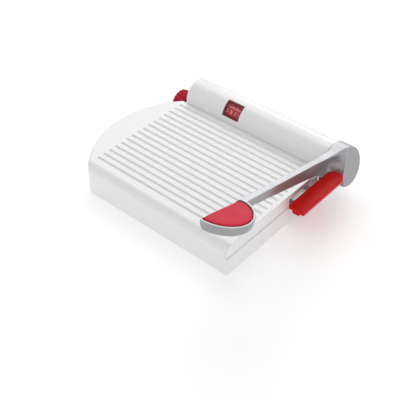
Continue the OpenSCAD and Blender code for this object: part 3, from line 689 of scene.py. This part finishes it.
def handle_ring(inset, height, corner):
    """Half-disc outline in the world: an arc of the radius less the inset, a straight side, and
    corner circles that touch both. One touches the arc when its centre is R - corner away. The
    side moves in by only a share of the inset, and up to a limit, so the rim is thin along it."""
    radius = HANDLE_RADIUS - inset
    side = HANDLE_CUT + SIDE_SHARE * min(max(inset, 0.0), SIDE_MOST)
    centre_x = side + corner
    centre_y = math.sqrt((radius - corner) ** 2 - centre_x**2)
    touch = math.atan2(centre_y, centre_x)
    arc = np.linspace(-touch, touch, ARC_POINTS)
    bend = np.linspace(touch, math.pi, BEND_POINTS)[1:]
    down = np.linspace(centre_y, -centre_y, SIDE_POINTS)[1:-1]
    x_bend, y_bend = centre_x + corner * np.cos(bend), centre_y + corner * np.sin(bend)
    x = np.concatenate([radius * np.cos(arc), x_bend, np.full_like(down, side), x_bend[::-1]])
    y = np.concatenate([radius * np.sin(arc), y_bend, down, -y_bend[::-1]])
    out, rise = y + HANDLE_RADIUS, np.broadcast_to(height(y), y.shape)
    forward = (HANDLE_OUT - HANDLE_RADIUS + out * math.cos(HANDLE_TILT)
               - rise * math.sin(HANDLE_TILT))
    above = BEAM_RISE + out * math.sin(HANDLE_TILT) + rise * math.cos(HANDLE_TILT)
    return from_arm(x + ARM_LEFT - HANDLE_CUT, forward, above)


def rim_height(share):
    """Height of the rim at a share of its depth, as a function of the place along the handle. The
    rim is as deep as the beam where they meet. From RIM_START on, within RIM_RUN, its top drops
    and its bottom lifts."""
    def height(y):
        away = smooth_step((y + HANDLE_RADIUS - RIM_START) / RIM_RUN)
        top, low = -RIM_DROP * away, RIM_LIFT * away - RIM_DEEP
        return top + (low - top) * share
    return height


print("half disc of the handle has a radius of", HANDLE_RADIUS, "mm")

# %% [markdown]
# ## Rim and pad
# The rim's cross section goes from the pocket's floor up its inner wall, over a rounded lip, down the
# outside, which bulges by a millimetre and a half, and in under the floor, where it is hollow. The
# pad is a low cushion: its top falls by a few tenths of a millimetre towards the edge and then
# rounds down into the pocket.

# %% Rim
rim_section = [(14.0, 0.5, 3.0), (1.2, 0.5, 3.0), (1.1, 0.48, 3.0), (1.1, 0.07, 3.0),
               (1.0, 0.035, 2.8), (0.75, 0.01, 2.6), (0.4, 0.0, 2.2), (-0.7, 0.0, 1.6),
               (-1.1, 0.01, 1.4), (-1.35, 0.035, 1.3), (-1.5, 0.08, 1.3), (-1.45, 0.3, 2.0),
               (-1.25, 0.6, 3.5), (-0.8, 0.84, 5.0), (-0.3, 0.93, 5.6), (0.4, 0.98, 6.0),
               (1.4, 1.0, 6.0), (2.6, 1.0, 6.0), (2.8, 0.98, 6.0), (2.8, 0.7, 6.0), (14.0, 0.7, 6.0)]
piece("handle_rim", "arm", "cast_aluminium",
      [skin([handle_ring(inset, rim_height(share), corner)
             for inset, share, corner in rim_section])])

# %% Pad
PAD_CORNER = 3.6
pad_section = [(20.0, -0.5), (12.0, -0.52), (7.0, -0.62), (4.4, -0.78), (3.2, -0.92),
               (2.5, -1.1), (2.1, -1.35), (1.9, -1.7), (1.8, -2.2), (1.8, -6.0), (20.0, -6.0)]
piece("handle_pad_soft", "arm", "red_pad",
      [skin([handle_ring(inset, lambda y, level=level: level, PAD_CORNER)
             for inset, level in pad_section])], stands_for=["handle_pad"])

# %% [markdown]
# ## Stop plate
# The red plate is square in front and rounded behind, with softened edges all round. Its outline is
# four corner arcs about fixed centres, so an inset only shrinks their radii, and a table of insets
# and heights is its edge.

# %% Stop plate
PLATE_X, PLATE_Y, PLATE_Z = (111.2, 130.7), (8.5, 87.0), (40.5, 45.5)
FRONT_CORNER, REAR_CORNER, CORNER_POINTS = 1.6, 9.5, 16
PLATE_CORNERS = ((1, 1, REAR_CORNER, 0.0), (0, 1, REAR_CORNER, 90.0),
                 (0, 0, FRONT_CORNER, 180.0), (1, 0, FRONT_CORNER, 270.0))


def plate_ring(inset, height):
    """Rounded rectangle at an inset: each corner is an arc of its radius less the inset."""
    corners = []
    for x_side, y_side, radius, start in PLATE_CORNERS:
        angles = np.radians(start + np.linspace(0.0, 90.0, CORNER_POINTS))
        x_centre = PLATE_X[x_side] + (radius if x_side == 0 else -radius)
        y_centre = PLATE_Y[y_side] + (radius if y_side == 0 else -radius)
        reach = radius - inset
        corners.append(np.stack([x_centre + reach * np.cos(angles),
                                 y_centre + reach * np.sin(angles)], axis=-1))
    flat = np.vstack(corners)
    return np.column_stack([flat, np.full(len(flat), height)]) * MM


low_z, high_z = PLATE_Z
plate_section = [(1.3, low_z), (0.5, low_z), (0.15, low_z + 0.15), (0.0, low_z + 0.5),
                 (0.0, high_z - 1.0), (0.12, high_z - 0.55), (0.45, high_z - 0.15),
                 (0.9, high_z), (1.3, high_z)]
piece("stop_plate_moulded", "stop", "red_plastic",
      [skin([plate_ring(inset, height) for inset, height in plate_section])],
      stands_for=["stop_plate"])

# %% [markdown]
# ## Knob
# The knob is a turned shape whose rim has 18 grip ribs. The radius at each angle is the turned
# radius less a scallop, a raised cosine to a power, and the scallops fade out towards both faces.

# %% Adjusting knob
KNOB_LEFT, KNOB_Y, KNOB_Z = -126.0, PIVOT_Y, 20.0
RIBS, POINTS_A_RIB = 18, 16
SCALLOP_POWER = 1.5


def knob_ring(x, radius, scallop):
    """Ring of the knob: radius less scallop times a raised cosine of the angle times the ribs."""
    wide = np.linspace(0.0, 2 * math.pi, RIBS * POINTS_A_RIB + 1)[:-1]
    dip = ((1.0 + np.cos(RIBS * wide)) / 2) ** SCALLOP_POWER
    r = radius - scallop * dip
    return np.stack([np.full_like(wide, KNOB_LEFT + x), KNOB_Y + r * np.cos(wide),
                     KNOB_Z + r * np.sin(wide)], axis=-1) * MM


knob_section = [(2.2, 3.2, 0), (1.8, 4.6, 0), (0.9, 7.5, 0), (0.35, 10.5, 0), (0.1, 12.0, 0),
                (0.0, 12.8, 0.1), (0.25, 13.7, 0.5), (0.8, 14.5, 1.0), (1.6, 15.15, 1.4),
                (2.6, 15.45, 1.55), (4.0, 15.5, 1.6), (11.0, 15.5, 1.6), (12.6, 15.4, 1.55),
                (13.8, 14.9, 1.3), (14.6, 14.0, 0.8), (15.0, 12.9, 0.2), (14.9, 11.4, 0),
                (14.2, 10.8, 0), (14.0, 9.0, 0), (14.0, 4.2, 0)]
piece("knob_ribbed", "knob", "red_plastic",
      [skin([knob_ring(x, radius, scallop) for x, radius, scallop in knob_section])],
      stands_for=["adjusting_knob"])

# %% [markdown]
# ## Figures on the scale
# Behind the window a red drum moves with the plate. It carries a row of strokes and plain numbers
# that grow with the slice. Each is a thin closed prism bent round the drum: its flat shape is laid
# along the tube, and its height becomes an angle about the tube's axis.

# %% Bend flat shapes round the drum
DRUM_RADIUS = 17.0
FIGURE_PROUD, FIGURE_ROOT = 0.12, 0.2
STROKE_POINTS = 5


def round_drum(along, angle, radius):
    """World metres of a point on the drum: angle in degrees above the front, radius from the axis."""
    lean = np.radians(angle)
    return np.stack(np.broadcast_arrays(along, PIVOT_Y - radius * np.cos(lean),
                                        PIVOT_Z + radius * np.sin(lean)), axis=-1) * MM


def stroke(x_low, x_high, angle_low, angle_high):
    """A bent bar: its outline goes up one side and down the other, once below the drum's face and
    once a little above it."""
    angles = np.linspace(angle_low, angle_high, STROKE_POINTS)
    edge_x = np.repeat([x_low, x_high], STROKE_POINTS)
    edge_a = np.concatenate([angles, angles[::-1]])
    return skin([round_drum(edge_x, edge_a, DRUM_RADIUS - FIGURE_ROOT),
                 round_drum(edge_x, edge_a, DRUM_RADIUS + FIGURE_PROUD)])


print("drum is", 2 * DRUM_RADIUS, "mm across")

# %% [markdown]
# ## Numbers
# Digits drawn from arcs would take many lines and look no better. Blender turns a line of text into
# a filled and thickened mesh, with its own built-in font. That mesh is read into arrays and bent,
# and the text object is deleted again.

# %% Numbers as meshes
DIGIT_DEPTH, DIGIT_BOLD, DIGIT_STEPS = 0.5, 0.07, 2


def number_prism(text, x_middle, angle_middle, tall):
    """A number as a thin prism: Blender's own digits, filled, thickened and bent round the drum."""
    curve = bpy.data.curves.new("digits", "FONT")
    curve.body = text
    curve.align_x, curve.align_y = "CENTER", "CENTER"
    curve.size, curve.extrude, curve.offset = tall, DIGIT_DEPTH, DIGIT_BOLD
    curve.resolution_u = DIGIT_STEPS
    holder = bpy.data.objects.new("digits", curve)
    bpy.context.scene.collection.objects.link(holder)
    bpy.context.view_layer.update()
    flat = bpy.data.meshes.new_from_object(
        holder.evaluated_get(bpy.context.evaluated_depsgraph_get()))
    points = np.empty(len(flat.vertices) * 3)
    flat.vertices.foreach_get("co", points)
    points = points.reshape(-1, 3)
    faces = [list(face.vertices) for face in flat.polygons]
    bpy.data.objects.remove(holder)
    bpy.data.curves.remove(curve)
    bpy.data.meshes.remove(flat)
    angle = angle_middle + np.degrees(points[:, 1] / DRUM_RADIUS)
    radius = np.where(points[:, 2] > 0, DRUM_RADIUS + FIGURE_PROUD, DRUM_RADIUS - FIGURE_ROOT)
    return round_drum(x_middle + points[:, 0], angle, radius), faces


# %% Strokes, and a number under every long one
SCALE_START, STROKE_PITCH, LONG_EVERY, NUMBERS = -19.5, 1.2, 5, 7
STROKE_HALF, STROKE_ANGLE, LONG_STROKE, SHORT_STROKE = 0.25, 48.0, 10.0, 6.0
NUMBER_ANGLE, NUMBER_TALL = 32.0, 6.0
marks = []
for step in range((NUMBERS - 1) * LONG_EVERY + 1):
    x = SCALE_START - step * STROKE_PITCH
    tall = SHORT_STROKE if step % LONG_EVERY else LONG_STROKE
    marks.append(stroke(x - STROKE_HALF, x + STROKE_HALF, STROKE_ANGLE, STROKE_ANGLE + tall))
for number in range(NUMBERS):
    x = SCALE_START - number * LONG_EVERY * STROKE_PITCH
    marks.append(number_prism(str(number), x, NUMBER_ANGLE, NUMBER_TALL))
piece("scale_marks", "stop", "red_plastic", marks, finish="scale_figures")

# %% [markdown]
# ## Floor
# The slicer stands on a plain white floor. A diffuse floor alone would look grey under soft lamps,
# so a little glow is added to it, and the shadows stay. It fades out between half a metre and one
# metre from the middle, so the background takes over and no horizon shows.

# %% Floor
FLOOR_HALF = 6.0
FLOOR_WHITE, GLOW_WHITE, FLOOR_GLOW = (0.86, 0.86, 0.86, 1.0), (1.0, 1.0, 1.0, 1.0), 0.34
FADE_START, FADE_END = 0.2, 1.0  # squares of the distance from the middle

floor_mesh = bpy.data.meshes.new("floor")
corners = [(x * FLOOR_HALF, y * FLOOR_HALF, 0.0) for x, y in ((-1, -1), (1, -1), (1, 1), (-1, 1))]
floor_mesh.from_pydata(corners, [], [(0, 1, 2, 3)])
floor = bpy.data.objects.new("floor", floor_mesh)
bpy.context.scene.collection.objects.link(floor)
ground = Finish("floor_white")
plain = ground.node("ShaderNodeBsdfDiffuse", {}, {"Color": FLOOR_WHITE})
glow = ground.node("ShaderNodeEmission", {}, {"Color": GLOW_WHITE, "Strength": FLOOR_GLOW})
added = ground.node("ShaderNodeAddShader", {}, {0: plain, 1: glow})
east, north = ground.along("X"), ground.along("Y")
near = ground.node("ShaderNodeMapRange", {"interpolation_type": "SMOOTHSTEP"},
                   {0: east * east + north * north, 1: FADE_START, 2: FADE_END, 3: 1.0, 4: 0.0})
nothing = ground.node("ShaderNodeBsdfTransparent", {}, {})
faded = ground.node("ShaderNodeMixShader", {}, {0: near, 1: nothing, 2: added})
ground.node("ShaderNodeOutputMaterial", {}, {"Surface": faded})
floor_mesh.materials.append(ground.owner)
print("floor fades from", round(FADE_START**0.5, 2), "to", FADE_END**0.5, "m")

# %% [markdown]
# ## Backdrop
# The background is white by colour for what the camera and the glossy and clear surfaces see. For
# what lights the object it is only a weak grey, because a white world would fill every shadow. The
# kind of ray chooses between the two, and the larger of several yes-or-no values is their "or".

# %% World
WORLD_WHITE, WORLD_LIGHT, WORLD_SHOWN = (1.0, 1.0, 1.0, 1.0), 0.56, 1.0
world = bpy.data.worlds.new("studio")
bpy.context.scene.world = world
studio = Finish("studio", world)
seen = studio.node("ShaderNodeLightPath", output="Is Camera Ray")
for ray in ("Is Transmission Ray", "Is Glossy Ray"):
    seen = seen.reckon("MAXIMUM", seen, studio.node("ShaderNodeLightPath", output=ray))
lighting, shown = (
    studio.node("ShaderNodeBackground", {}, {"Color": WORLD_WHITE, "Strength": strength})
    for strength in (WORLD_LIGHT, WORLD_SHOWN))
chosen = studio.node("ShaderNodeMixShader", {}, {0: seen, 1: lighting, 2: shown})
studio.node("ShaderNodeOutputWorld", {}, {"Surface": chosen})
print("world has", len(studio.tree.nodes), "nodes")

# %% [markdown]
# ## Lamps
# The photograph was taken in soft studio light. A broad lamp above and behind the left side makes
# the upper faces the brightest. A low one behind is mirrored in the top of the arm, and weaker ones
# in front and on the right fill the rest.

# %% Lamps
def soft_lamp(name, place, size, watts, aim=(0.0, 0.0, 0.03)):
    """A square area lamp that faces a point on the object."""
    data = bpy.data.lights.new(name, "AREA")
    data.shape, data.size, data.energy = "SQUARE", size, watts
    lamp = bpy.data.objects.new(name, data)
    bpy.context.scene.collection.objects.link(lamp)
    facing = (Vector(place) - Vector(aim)).to_track_quat("Z", "Y").to_matrix().to_4x4()
    lamp.matrix_world = Matrix.Translation(place) @ facing
    print(name, watts, "W, side", size, "m")


soft_lamp("key", (-0.6, 0.8, 1.2), 1.2, 7.5)
soft_lamp("back", (-0.6, 1.32, 0.59), 0.48, 1.9)
soft_lamp("fill", (-0.5, -1.4, 0.5), 1.4, 1.8)
soft_lamp("side", (1.4, -0.2, 0.6), 1.2, 2.0)

# %% [markdown]
# ## View settings
# The plain view transform keeps white white.

# %% View settings
bpy.context.scene.view_settings.view_transform = "Standard"
